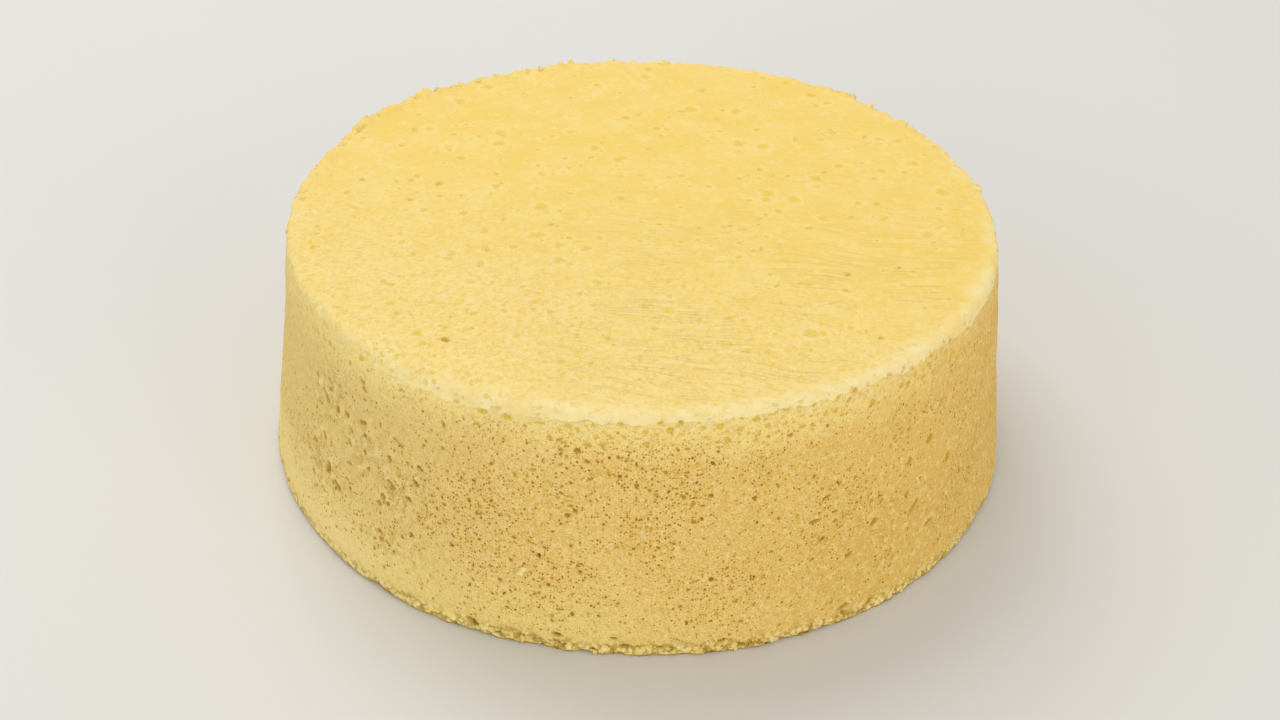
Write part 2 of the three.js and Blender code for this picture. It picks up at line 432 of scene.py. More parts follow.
def surface_places(flat, sunk=0):
    """The real places of opened out points, and their places and directions on the drum."""
    theta, s = profile.fold_back(flat)
    drum, outward = profile.place(theta, s)
    stand = relief(drum) - sunk
    slant = np.column_stack((np.cos(theta), np.sin(theta), np.ones(len(theta)))) / math.sqrt(2)
    places = drum + outward * stand[:, None] - slant * worn_away(drum)[:, None]
    places[:, 2] = np.maximum(places[:, 2], 0)
    return places, drum, outward


class Points:
    """The mesh's points, opened out flat, each with how far it is sunk, how deep in a hollow it
    lies, from 0 to 1, which sets its painted shade, how torn its lip is, and how brown the hollow
    is painted, partly as shade."""

    def __init__(self):
        self.rows = []
        self.middle = int(profile.spread[-1] / RASTER_CELL) + 40
        self.taken = np.zeros((2 * self.middle + 1,) * 2, bool)

    def add(self, flat, sunk=0, hollow=0, lip=0, dark=0):
        self.rows.append(np.column_stack(np.broadcast_arrays(*flat.T, sunk, hollow, lip, dark)))

    def window(self, centre, reach):
        """The raster's cells round a point, and which of them lie within reach."""
        middle = centre / RASTER_CELL + self.middle
        span = reach / RASTER_CELL
        low = np.floor(middle - span).astype(int)
        high = np.ceil(middle + span).astype(int) + 1
        cells = slice(low[0], high[0]), slice(low[1], high[1])
        x, y = np.ogrid[cells]
        return cells, (x - middle[0]) ** 2 + (y - middle[1]) ** 2 <= span * span

    def claim(self, centre, reach):
        """Takes the disc round a point, unless part of it is taken already."""
        cells, disc = self.window(centre, reach)
        if (self.taken[cells] & disc).any():
            return False
        self.taken[cells] |= disc
        return True

    def cover(self, flat, reach):
        for centre in flat:
            cells, disc = self.window(centre, reach)
            self.taken[cells] |= disc

    def is_free(self, flat):
        cells = np.round(flat / RASTER_CELL + self.middle).astype(int)
        return ~self.taken[tuple(cells.T)]

    def fill(self, start, end, spacing, rng):
        """Jittered rings of points over a stretch of the section, where it is free."""
        row_gap = spacing * 0.87
        for s in np.arange(start, end, row_gap):
            radius = profile.radius_at(s)
            count = max(6, int(round(2 * np.pi * radius / spacing)))
            theta = (np.arange(count) + rng.random()) * 2 * np.pi / count
            theta += rng.uniform(-JITTER, JITTER, count) * spacing / max(radius, spacing)
            flat = profile.open_out(theta, s + rng.uniform(-JITTER, JITTER, count) * row_gap)
            self.add(flat[self.is_free(flat)])


def porous(drum):
    """How porous the wall is: in patches, and less low down, at the sides and in a band."""
    patches = smoothstep(-0.35, 0.4, noise(drum, 15, 71) + 0.4 * noise(drum, 5, 72))
    height = drum[:, 2]
    band = 1 - 0.8 * facing(drum, -76.5, 3) * smoothstep(18, 26, height)
    low = 1 - 0.6 * smoothstep(12, 5, height)
    right = 1 - 0.6 * facing(drum, -25, 18)
    left = 1 - 0.7 * facing(drum, -160, 28)
    under_rim = 1 - 0.85 * smoothstep(50.5, 54.5, height)
    return (0.25 + 0.75 * patches) * band * low * right * left * under_rim


def rim_pitted(drum):
    """How pitted the crumb under the rim is: most in front, least at the worn shoulder."""
    front = 0.3 + 0.7 * facing(drum, -90, 65)
    worn = 1 - 0.97 * facing(drum, -130, 20)
    return front * worn * smoothstep(-0.6, 0.3, noise(drum, 11, 74))


def add_pore(points, theta, s, shape, rng):
    """A hollow: a ring of points at its lip, one at its floor if it is wide, and its bottom."""
    radius, narrow, turn, depth, dark = shape
    wide = radius > WIDE_PORE
    count = 11 if radius > LARGE_PORE else 8 if wide else 6

    def ring(number, size, sunk, hollow):
        angle = (np.arange(number) + rng.random()) * 2 * np.pi / number
        reach = size * radius * rng.uniform(0.8, 1.08, number)
        u, v = reach * np.cos(angle), reach * np.sin(angle) * narrow
        points.add(profile.nudged(theta, s, *turned(u, v, turn)), sunk, hollow, 0, dark)

    ring(count, 1, 0, 0.1)
    if wide:
        ring(count - 2, 0.66, 0.75 * depth, 0.8)
    points.add(profile.open_out(theta, s), depth, 1, 0, dark)


def add_pores(points, kind, start, end, density, rng, level=False):
    """Throws pores over a stretch of the section, largest first; those that fit stay."""
    tries = kind.tries
    size = np.sort(rng.random(tries) ** kind.rarity)[::-1]
    radius = kind.radius[0] + (kind.radius[1] - kind.radius[0]) * size
    theta = rng.uniform(-np.pi, np.pi, tries)
    if end <= profile.rim_start:
        s = end * np.sqrt(rng.uniform((start / end) ** 2, 1, tries))
    else:
        s = rng.uniform(start, end, tries)
    turn = rng.normal(0, 0.3, tries) if level else rng.uniform(0, math.pi, tries)
    sliver = rng.random(tries) < SLIVERS.share
    narrow = np.where(sliver, SLIVERS.round, rng.uniform(*kind.round, tries))
    slits = SLITS.share * fade(turn_between(np.degrees(theta), SLITS.angle), SLITS.reach)
    slit = (rng.random(tries) < slits) & (not level)
    turn = np.where(slit, rng.normal(SLITS.slant, 0.25, tries), turn)
    narrow = np.where(slit, rng.uniform(*SLITS.round, tries), narrow)
    depth = radius * rng.uniform(*kind.depth, tries) * np.sqrt(narrow)
    # Small pores are painted browner, partly as the shade in their depth
    dark = kind.dark * rng.random(tries) ** (1.2 + 2.6 * size)
    kept = rng.random(tries) < density(profile.place(theta, s)[0])
    flat = profile.open_out(theta, s)
    reach = (radius + PORE_MARGIN) * profile.scale_at(s)
    shapes = np.column_stack((radius, narrow, turn, depth, dark))
    for i in np.flatnonzero(kept):
        if points.claim(flat[i], reach[i]):
            add_pore(points, theta[i], s[i], shapes[i], rng)


def add_top_marks(points, rng):
    for angle, from_axis, radius, dark in TOP_MARKS:
        theta = math.radians(angle)
        if points.claim(profile.open_out(theta, from_axis)[0], radius + PORE_MARGIN):
            add_pore(points, theta, from_axis, (radius, 0.75, 0, 0.5 * radius, dark), rng)


def add_tear(points, tear, dark, rng):
    """A ragged hollow with steep sides and a lip torn up above it."""
    angle, height, length, width, turn, depth, lip = tear
    theta, s = math.radians(angle), profile.s_at_height(height)
    steps = np.arange(-length * TEAR_REACH, length * TEAR_REACH, TEAR_SPACING)
    u, v = (grid.ravel() + rng.uniform(-0.1, 0.1, grid.size) for grid in np.meshgrid(steps, steps))
    ragged = noise(np.column_stack((u + 50 * angle, v, np.full(u.size, height))), 0.9, 73)
    away = np.hypot(u / length, v / width) * (1 + 0.35 * ragged)
    across, up = turned(u, v, math.radians(turn))
    flat = profile.nudged(theta, s, across, -up)
    within = np.hypot(*flat.T) < profile.spread[-1] - 1
    near = (away < TEAR_REACH) & within & points.is_free(flat)
    flat, away, up = flat[near], away[near], up[near]
    sunk = depth * (1 - smoothstep(0.4, 1, away))
    above = smoothstep(-0.3, 0.6, up / max(length, width))
    torn = fade(away - 1.2, 0.25) * above
    hollow = 1 - smoothstep(0.5, 1, away)
    points.add(flat, sunk - lip * torn, hollow, torn * min(1, 1.6 * lip), dark)
    points.cover(flat, 0.75 * TEAR_SPACING * profile.scale_at(s))


def random_tear(kind, angle, height, rng):
    length = rng.uniform(*kind.length)
    width = length * rng.uniform(*kind.width)
    turn = rng.uniform(-kind.turn, kind.turn)
    return angle, height, length, width, turn, rng.uniform(*kind.depth), rng.uniform(*kind.lip)


def stray_tears(kind, rng):
    return [random_tear(kind, rng.uniform(*kind.angle), rng.uniform(*kind.height), rng)
            for _ in range(kind.number)]


def patch_tears(rng):
    tears = []
    for angle, height, round_reach, up_reach, number in TORN_PATCHES:
        for _ in range(number):
            turn = math.degrees(rng.normal(0, 0.5) * round_reach / TOP_RADIUS)
            up = height + rng.normal(0, 0.5) * up_reach
            tears.append(random_tear(PATCH_TEARS, angle + turn, up, rng))
    return tears


def gather_points(edge_flat):
    rng = np.random.default_rng(SEED)
    points = Points()
    listed = ((SIDE_TEARS, 0.35), (RIM_TEARS, 0.05), (FOOT_TEARS, 0.75))
    strays = tuple((stray_tears(kind, rng), kind.dark) for kind in (WALL_STRAYS, FOOT_STRAYS))
    patches = (patch_tears(rng), PATCH_TEARS.dark)
    for tears, dark in (*listed, patches, *strays):
        for tear in tears:
            add_tear(points, tear, dark, rng)
    add_top_marks(points, rng)
    low, high = (profile.s_at_height(height) for height in RIM_PIT_HEIGHTS)
    add_pores(points, RIM_PITS, high, low, rim_pitted, rng, level=True)
    edge, wall, foot = (profile.s_at_height(height) for height in SPACING_HEIGHTS)
    add_pores(points, SIDE_PORES, edge + 1.6, foot + 1, porous, rng)
    add_pores(points, TOP_PITS, 4, profile.rim_start - 1.5, lambda drum: 0.7, rng)
    points.add(np.zeros((1, 2)))
    ends = (SPACINGS[0], profile.rim_start - 3, edge, wall, foot - 0.5, profile.end - 0.4)
    for start, end, spacing in zip(ends, ends[1:], SPACINGS):
        points.fill(start, end, spacing, rng)
    points.add(edge_flat)
    return np.concatenate(points.rows)


def triangulate(flat):
    """Delaunay triangles over flat points, turned so that they face up."""
    _, _, faces, sources, _, _ = delaunay_2d_cdt([Vector(p) for p in flat], [], [], 0, 1e-5)
    first = np.array([source[0] for source in sources])
    triangles = first[np.array(faces)]
    a, b, c = (flat[corner].T for corner in triangles.T)
    area = (b[0] - a[0]) * (c[1] - a[1]) - (b[1] - a[1]) * (c[0] - a[0])
    triangles[area < 0] = triangles[area < 0][:, ::-1]
    return triangles


def underside(edge_flat):
    """A jittered grid inside the base's edge, and the triangles that join the two."""
    edge = edge_flat / np.hypot(*edge_flat[0]) * profile.radius[-1]
    steps = np.arange(-BASE_RADIUS, BASE_RADIUS, UNDERSIDE_SPACING)
    x, y = (grid.ravel() for grid in np.meshgrid(steps, steps))
    inside = np.hypot(x, y) < profile.radius[-1] - 0.8 * UNDERSIDE_SPACING
    rng = np.random.default_rng(SEED + 1)
    inner = np.column_stack((x, y))[inside] + rng.uniform(-1.5, 1.5, (inside.sum(), 2))
    return inner, triangulate(np.concatenate((edge, inner)))


def linked(name, data):
    thing = bpy.data.objects.new(name, data)
    bpy.context.scene.collection.objects.link(thing)
    return thing


def mesh_object(name, places, triangles, values):
    """A mesh in metres with a value for each point under each given name."""
    mesh = bpy.data.meshes.new(name)
    mesh.from_pydata((places * MM).tolist(), [], triangles.tolist())
    mesh.validate()
    for key, value in values.items():
        mesh.attributes.new(key, "FLOAT", "POINT").data.foreach_set("value", value.astype(np.float32))
    mesh.shade_smooth()
    return linked(name, mesh)


def surface_values(drum, hollow, lip, dark):
    """What the body's material reads at each point."""
    # Painted shade in the foot's crevices and between its nodules, laid into the hollows
    crevice, crease = foot_creases(drum)
    shaded = np.maximum(0.9 * crevice, 0.7 * smoothstep(0.5, 1, crease)) * foot_torn(drum)
    x, height = drum[:, 0], drum[:, 2]
    dark = dark * (1 - 0.8 * smoothstep(44, 56, height) * smoothstep(HEIGHT, HEIGHT - 0.5, height))
    dark = dark * (1 - 0.6 * smoothstep(35, 60, x)) * (1 - 0.7 * smoothstep(-25, -60, x))
    cover, torn_edge = skin_cover(drum)
    return {"hollow": np.maximum(hollow, shaded), "lip": np.maximum(lip, torn_edge), "dark": dark,
            "skin": cover, "porous": porous(drum), "ragged": ragged_patches(drum)}


def make_body():
    theta = np.arange(EDGE_POINTS) * 2 * np.pi / EDGE_POINTS
    edge = profile.open_out(theta, profile.end)
    rows = gather_points(edge)
    first_edge = len(rows) - EDGE_POINTS
    triangles = triangulate(rows[:, :2])
    places, drum, _ = surface_places(rows[:, :2], rows[:, 2])
    places[first_edge:, 2] = 0
    values = surface_values(drum, *rows[:, 3:].T)
    inner, below = underside(edge)
    none = np.zeros(len(inner))
    places = np.concatenate((places, np.column_stack((inner, none))))
    triangles = np.concatenate((triangles, below[:, ::-1] + first_edge))
    values = {key: np.append(value, none) for key, value in values.items()}
    return mesh_object("sponge_body", places, triangles, values)


def blob_template(detail):
    """The points and triangles of a round lump of unit radius."""
    shape = bmesh.new()
    bmesh.ops.create_icosphere(shape, subdivisions=detail, radius=1)
    points = np.array([v.co[:] for v in shape.verts])
    triangles = np.array([[v.index for v in face.verts] for face in shape.faces])
    shape.free()
    return points, triangles


def ragged_bit(template, radius, number, rng):
    """One crumb about its own middle, pulled out of round and rough."""
    points = template * rng.uniform(0.65, 1.25, 3)
    points = points @ np.array(Euler(rng.uniform(0, 2 * math.pi, 3)).to_matrix())
    lumps = 0.34 * noise(template + 9 * number, 0.75, 79)
    rough = lumps + 0.16 * noise(template + 5 * number, 0.35, 83)
    return radius * points * (1 + rough)[:, None]


def skewed(least, span, rarity, rng):
    return least + span * rng.random() ** rarity


def bit_places(rng):
    """Each crumb's angle, distance along the section, radius, and how far it stands out."""
    places = []
    for _ in range(FOOT_BITS.number):
        s = profile.s_at_height(skewed(*FOOT_BITS.height, rng))
        radius = skewed(*FOOT_BITS.radius, rng)
        angle = rng.uniform(-180, 180)
        torn = foot_torn(profile.place(math.radians(angle), s)[0])[0]
        if rng.random() < 0.1 + torn:
            places.append((angle, s, radius, rng.uniform(*FOOT_BITS.stand)))
    for _ in range(RIM_BITS.number):
        rim = CRUMBLY_RIMS[rng.random() >= RIM_BITS.share]
        angle = rim.angle + rng.normal(0, 0.75 * rim.reach)
        s = profile.rim_start + rng.uniform(*RIM_BITS.past)
        places.append((angle, s, skewed(*RIM_BITS.radius, rng), rng.uniform(*RIM_BITS.stand)))
    for _ in range(WALL_BITS.number):
        s = profile.s_at_height(rng.uniform(*WALL_BITS.height))
        places.append((rng.uniform(-180, 180), s, rng.uniform(*WALL_BITS.radius), WALL_BITS.stand))
    angle, height, *shape = PALE_FLECK
    places.append((angle, profile.s_at_height(height), *shape))
    return places


def make_crumbs():
    """The bits of crumb fused to the foot, the rim and the wall."""
    rng = np.random.default_rng(SEED + 2)
    fine, coarse = blob_template(3), blob_template(2)
    all_points, all_triangles, tones, count = [], [], [], 0
    for number, (angle, s, radius, stand) in enumerate(bit_places(rng)):
        template = fine if radius > 0.6 else coarse
        points = ragged_bit(template[0], radius, number, rng)
        place, _, outward = surface_places(profile.open_out(math.radians(angle), s))
        points = points + place + outward * stand * radius
        points[:, 2] = np.maximum(points[:, 2], 0.05)
        all_points.append(points)
        all_triangles.append(template[1] + count)
        tones.append(np.full(len(points), rng.random() + 0.4 * (place[0, 2] > HEIGHT / 2)))
        count += len(points)
    tones[-1][:] = 2
    places, triangles, tone = map(np.concatenate, (all_points, all_triangles, tones))
    return mesh_object("stuck_crumbs", places, triangles, {"tone": tone})


class Graph:
    """A material's nodes, made by short calls. A size is in millimetres on the cake."""

    MIX_A, MIX_B, MIX_RESULT = 6, 7, 2

    def __init__(self, name):
        self.material = bpy.data.materials.new(name)
        self.material.use_nodes = True
        self.tree = self.material.node_tree
        self.shader = self.tree.nodes["Principled BSDF"]
        place = self.node("TexCoord").outputs["Object"]
        self.place = self.stretched(place, MM, MM, MM)
        self.x, self.y, self.z = self.parts(self.place)
        level = self.stretched(self.place, 1, 1, 1e9)
        self.from_axis = self.vector("LENGTH", level, output=1)

    def node(self, kind, given=(), **settings):
        """A node with values or links given to its sockets, in their order or by name."""
        made = self.tree.nodes.new("ShaderNode" + kind)
        for name, value in settings.items():
            setattr(made, name, value)
        for key, value in given.items() if isinstance(given, dict) else enumerate(given):
            self.join(value, made.inputs[key])
        return made

    def join(self, value, socket):
        if isinstance(value, bpy.types.NodeSocket):
            self.tree.links.new(value, socket)
        else:
            socket.default_value = (*value, 1) if socket.type == "RGBA" else value

    def math(self, operation, *values):
        return self.node("Math", values, operation=operation).outputs[0]

    def add(self, *values):
        return reduce(lambda a, b: self.math("ADD", a, b), values)

    def times(self, *values):
        return reduce(lambda a, b: self.math("MULTIPLY", a, b), values)

    def rest(self, share):
        return self.math("SUBTRACT", 1, share)

    def vector(self, operation, *values, output=0):
        return self.node("VectorMath", values, operation=operation).outputs[output]

    def tint(self, colour, by):
        """A colour or place multiplied part by part."""
        return self.vector("MULTIPLY", colour, by)

    def stretched(self, place, x, y, z):
        """A place with each direction divided by a size."""
        return self.tint(place, (1 / x, 1 / y, 1 / z))

    def parts(self, vector):
        return self.node("SeparateXYZ", (vector,)).outputs

    def attribute(self, name):
        return self.node("Attribute", attribute_name=name).outputs["Fac"]

    def noise(self, size, detail=2, rough=0.55, place=None, output="Fac"):
        given = {"Vector": place or self.place, "Scale": 1 / size, "Detail": detail, "Roughness": rough}
        return self.node("TexNoise", given).outputs[output]

    def warped(self, size, reach):
        """The place pushed about by up to half of reach, in patches of a size."""
        push = self.vector("SUBTRACT", self.noise(size, 1, 0.5, output="Color"), (0.5,) * 3)
        return self.vector("ADD", self.place, self.tint(push, (reach,) * 3))

    def cells(self, size, place):
        return self.node("TexVoronoi", {"Vector": place, "Scale": 1 / size})

    def spots(self, size, place, least, reach):
        """How far a place lies inside a spot, in cells whose random pick is over least, and
        the cell's second pick."""
        cells = self.cells(size, place)
        pick = self.parts(cells.outputs["Color"])
        radius = self.step(pick[0], least, 1, 0, reach)
        return self.math("SUBTRACT", radius, cells.outputs["Distance"]), pick[1]

    def step(self, value, low, high, start=0, end=1):
        """A smooth step of value between low and high, scaled from start to end."""
        given = (value, low, high, start, end)
        return self.node("MapRange", given, interpolation_type="SMOOTHSTEP").outputs[0]

    def mix(self, share, first, second):
        given = {0: share, self.MIX_A: first, self.MIX_B: second}
        return self.node("Mix", given, data_type="RGBA").outputs[self.MIX_RESULT]

    def coats(self, colour, *coats):
        """A colour with others laid over it in turn, each as a share and a colour."""
        for share, over in coats:
            colour = self.mix(share, colour, over)
        return colour

    def shaded(self, colour, share, shade):
        return self.tint(colour, self.mix(share, WHITE, shade))

    def finish(self, colour, height, depth_mm):
        """What all crumb shares: a dull, dry surface with its colour and its bumps."""
        given = {"Strength": 1, "Distance": depth_mm * MM, "Height": height}
        normal = self.node("Bump", given).outputs["Normal"]
        for name, value in (("Base Color", colour), ("Normal", normal), *DRY.items()):
            self.join(value, self.shader.inputs[name])
        return self.material


# Colours, linear
SKIN = (0.868, 0.622, 0.156)
SKIN_LIGHT = (0.88, 0.658, 0.205)
SKIN_DEEP = (0.85, 0.592, 0.12)
SKIN_PIT = (0.795, 0.55, 0.065)
SKIN_FLECK = (0.905, 0.725, 0.3)
SKIN_SHADE = (0.9, 0.885, 0.8)
RIM_PALE_AND_HIGHLIGHT = (0.9, 0.75, 0.39)
RIM_CREAM_AND_HIGHLIGHT = (0.9, 0.79, 0.45)
RIM_PIT = (0.79, 0.562, 0.08)
RIM_GOLD = (0.77, 0.49, 0.08)
WALL = (0.8, 0.56, 0.18)
WALL_LIGHT = (0.83, 0.63, 0.265)
WALL_TAN = (0.78, 0.505, 0.145)
WALL_GOLD = (0.745, 0.482, 0.125)
# Painted shade for the lower right of the wall
WALL_SHADED_GOLD = (0.7, 0.44, 0.106)
WALL_YELLOW_AND_BOUNCE = (0.83, 0.65, 0.215)
WALL_OLIVE = (0.768, 0.578, 0.205)
WALL_RIM = (0.895, 0.695, 0.255)
WALL_PALE = (0.93, 0.74, 0.31)
GRAIN_SHADE = (0.86, 0.83, 0.72)
# Pore and pit colours: the crumb in hollows, darkened as painted shade
PORE_BROWN_AND_SHADE = (0.36, 0.13, 0.003)
PORE_GOLD = (0.6, 0.335, 0.03)
PIT_AMBER = (0.64, 0.39, 0.05)
PIT_OLIVE = (0.59, 0.378, 0.038)
TORN = (0.95, 0.79, 0.35)
FOOT = (0.835, 0.635, 0.205)
FOOT_CREASE_SHADE = (0.43, 0.25, 0.016)
CRUST = (0.62, 0.4, 0.11)
CRUST_PALE = (0.735, 0.52, 0.18)
CRUST_DEEP = (0.48, 0.27, 0.06)
WHITE = (1, 1, 1)
FLOOR_TONES = ((0.68, 0.665, 0.625), (0.71, 0.7, 0.67))

# The crumb's dull surface, the depth of its bumps, and its finest pores: the size of their cells,
# the share that holds one, their reach, and the picks between which they turn brown
DRY = {"Roughness": 0.82, "IOR": 1.38, "Specular IOR Level": 0.2}
BODY_BUMP = 0.24
CRUMB_BUMP = 0.15
PINPRICKS = (
    (1.9, 0.35, 0.27, (0.3, 1.6)),
    (1, 0.6, 0.36, (0.2, 1.2)),
    (0.6, 0.9, 0.4, (-0.2, 0.9)),
)


def wrinkles(g):
    """Soft ridges across the top's skin, in patches, more at its front."""
    across = g.add(g.y, g.times(g.x, 0.12), g.times(g.noise(30, 1), 9))
    place = g.node("CombineXYZ", (g.x, across, g.z)).outputs[0]
    ridges = g.step(g.noise(1, 0, 0.5, g.stretched(place, 11, 1.3, 11)), 0.3, 0.7)
    patch = g.times(g.step(g.noise(17, 1), 0.34, 0.56, 0.2, 1), g.step(g.x, -40, 5, 0.25, 1),
                    g.step(g.from_axis, 81, 74, 0.4, 1), g.step(g.y, 40, -40, 0.1, 1))
    return ridges, patch


def dimples(g, size, share, reach):
    """Shallow soft pits of the top's skin, and the paler crumb round them."""
    inside, _ = g.spots(size, g.warped(2, 1.8), 1 - share, reach)
    return g.step(inside, -0.02, 0.22), g.step(inside, -0.3, -0.06)


def skin_colour(g, mottle, grain):
    """The top's skin and its height: dimples, ridges and, in front, a fine grain."""
    (wide, wide_rim), (small, small_rim) = dimples(g, 6, 0.45, 0.34), dimples(g, 3.2, 0.5, 0.36)
    pits, flecks = g.math("MAXIMUM", wide, small), g.math("MAXIMUM", wide_rim, small_rim)
    ridges, patch = wrinkles(g)
    front = g.step(g.add(g.y, g.times(g.x, 0.4)), 20, -70, 0.05, 1)
    soft = g.noise(1, 2, 0.5, g.stretched(g.place, 1.9, 1.6, 2))
    skin = g.coats(
        SKIN,
        (g.step(mottle, 0.35, 0.7), SKIN_LIGHT),
        (g.step(soft, 0.5, 0.66, 0, 0.4), SKIN_DEEP),
        (g.times(patch, 0.5), g.mix(ridges, SKIN_DEEP, SKIN_LIGHT)),
        (g.times(front, g.step(soft, 0.54, 0.38, 0.12, 0.4)), RIM_PALE_AND_HIGHLIGHT),
        (g.times(flecks, g.step(grain, 0.4, 0.6, 0.15, 0.55)), SKIN_FLECK),
        (g.times(pits, 0.8), SKIN_PIT),
    )
    skin = g.shaded(skin, g.times(front, g.step(g.noise(1.1, 2, 0.6), 0.5, 0.36)), SKIN_SHADE)
    skin = g.mix(g.times(front, g.step(grain, 0.52, 0.66, 0, 0.4)), skin, RIM_PALE_AND_HIGHLIGHT)
    return skin, g.add(g.times(ridges, patch, 1.4), g.times(pits, -0.8), g.times(soft, 0.8), -0.8)


def rim_colour(g, skin, mottle, blotch):
    """The skin near its edge: paler towards the rim, with cream patches; both, most in front, are
    partly less browned crumb and partly a painted highlight on the rim.
    """
    # Painted highlight along the front of the rim, over partly less browned crumb
    front = g.step(g.add(g.y, g.times(g.x, -0.5)), 10, -70, 0.3, 1)
    outer = g.step(g.add(g.from_axis, g.times(blotch, 9)), 82, 87.5)
    patchy = g.times(g.step(mottle, 0.3, 0.6, 0.4, 1), g.step(g.x, -75, -30, 0.4, 1))
    cream = g.times(g.step(g.noise(4), 0.5, 0.66), g.step(g.from_axis, 79, 82))
    return g.coats(skin, (g.times(outer, patchy, g.times(front, 0.8)), RIM_PALE_AND_HIGHLIGHT),
                   (g.times(cream, front, 0.6), RIM_CREAM_AND_HIGHLIGHT))


def rim_pit_colour(g):
    """Lemon in front and golden towards the right."""
    return g.mix(g.step(g.x, 5, 55), RIM_PIT, RIM_GOLD)


def rim_tears(g, colour, blotch, grain):
    """Lemon pits with pale lips in the torn crumb along the rim, and their height."""
    level = g.add(g.z, g.times(blotch, 3))
    zone = g.times(g.step(level, 54, 56.5), g.step(level, 59.6, 58.4),
                   g.step(g.noise(8, 1), 0.36, 0.52, 0.25, 1))
    inside, _ = g.spots(1, g.stretched(g.warped(0.8, 1), 1.6, 1.6, 1), 0.25, 0.5)
    pit, lip = g.times(zone, g.step(inside, -0.02, 0.12)), g.times(zone, g.step(inside, -0.3, -0.04))
    colour = g.coats(colour, (g.times(lip, g.step(grain, 0.35, 0.6, 0.3, 0.8)), RIM_PALE_AND_HIGHLIGHT),
                     (g.times(pit, 0.8), rim_pit_colour(g)))
    return colour, g.add(g.times(lip, 0.2), g.times(pit, -0.4))


def pit_colour(g):
    """A hollow's crumb, darkened as painted shade: olive at the left, golden in the middle, amber at
    the right, a shift that is partly painted cool and warm light.
    """
    return g.coats(PORE_GOLD, (g.step(g.x, 25, 60), PIT_AMBER), (g.step(g.x, -25, -55), PIT_OLIVE))


def ragged_colour(g, wall):
    """Soft pits, darker as painted shade, with pale lips in the ragged patches, and their height."""
    ragged, holes = g.attribute("ragged"), g.noise(1.8, 2, 0.5)
    pit, lip = g.times(ragged, g.step(holes, 0.54, 0.6)), g.times(ragged, g.step(holes, 0.46, 0.38))
    wall = g.coats(wall, (g.times(lip, 0.35), WALL_PALE), (g.times(pit, 0.5), pit_colour(g)))
    return wall, g.add(g.times(lip, 0.2), g.times(pit, -0.6))


def wall_colour(g, mottle, blotch, granules, sandy, pricks):
    """Bare crumb: yellow under the rim and at the left, golden at the right, tan between them; the
    left-to-right shift is partly its own tone and partly painted cool and warm light.
    """
    speckle = g.noise(1.4, 2, 0.6)
    # Darker gold at the lower right of the wall: painted shade
    gold = g.mix(g.times(g.step(g.x, 20, 50), g.step(g.z, 34, 16)), WALL_GOLD, WALL_SHADED_GOLD)
    # Golden towards the right and olive-yellow towards the left: partly the crumb's own tone, partly
    # painted warm and cool light
    right = g.step(g.add(g.x, g.times(mottle, 40)), 15, 65, 0, 0.95)
    left = g.step(g.add(g.x, g.times(mottle, 30)), -45, -5, 0.8, 0)
    # Lower wall, less at the right: yellower, partly its own colour and partly painted bounce light
    # from the floor; paler at the far left as painted bounce light
    low = g.step(g.add(g.z, g.times(mottle, 12)), 12, 28, 0.85, 0)
    low = g.times(low, g.step(g.x, 30, -20, 0.2, 1))
    under_rim = g.step(g.add(g.z, g.times(blotch, 8)), 48, 58.5)
    under_rim = g.times(under_rim, g.step(g.x, 30, 75, 1, 0.3))
    wall = g.coats(
        WALL_TAN,
        (g.step(mottle, 0.36, 0.66), WALL),
        (right, gold),
        (g.step(speckle, 0.5, 0.68, 0, 0.75), WALL_LIGHT),
        (left, WALL_OLIVE),
        (low, WALL_YELLOW_AND_BOUNCE),
        (under_rim, WALL_RIM),
        (g.step(speckle, 0.5, 0.32, 0, 0.6), gold),
        (g.times(left, g.step(blotch, 0.5, 0.36, 0, 0.7)), WALL_LIGHT),
        (g.times(low, g.step(g.x, -40, -65, 0, 0.7)), WALL_PALE),
    )
    wall = g.shaded(wall, g.times(sandy, g.step(granules, 0.51, 0.35)), GRAIN_SHADE)
    wall = g.mix(g.times(sandy, g.step(granules, 0.5, 0.66, 0, 0.5)), wall, WALL_PALE)
    for deep, halo, colour in pricks:
        wall = g.coats(wall, (g.times(halo, 0.35), PORE_GOLD), (g.times(deep, 0.92), colour))
    return wall


def foot_colour(g, wall, blotch, grain):
    """Bright lumps with creases painted olive as shade in an uneven band, and the creases."""
    band = g.step(g.add(g.z, g.times(blotch, 4)), 3.5, 6.5, 1, 0)
    lumps = g.cells(1.25, g.warped(0.9, 0.7)).outputs["Distance"]
    crease = g.step(lumps, 0.42, 0.78, 0, 0.75)
    bright = g.step(g.add(g.times(grain, 0.4), g.times(blotch, 0.6)), 0.44, 0.58)
    # The creases are painted shade; the dark line along the base is a painted contact shadow on partly
    # browned crumb
    foot = g.coats(FOOT, (bright, TORN), (crease, FOOT_CREASE_SHADE),
                   (g.step(g.z, 0.1, 0.9, 0.7, 0), FOOT_CREASE_SHADE))
    return g.mix(g.times(band, 0.85), wall, foot), g.times(crease, band)


def crust_colour(g, mottle, blotch, grain):
    """The underside's browned crumb: paler and deeper patches with a fine grain."""
    crust = g.coats(CRUST, (g.step(mottle, 0.4, 0.62), CRUST_PALE),
                    (g.step(blotch, 0.48, 0.34, 0, 0.7), CRUST_DEEP))
    return g.shaded(crust, g.step(grain, 0.52, 0.36), GRAIN_SHADE)


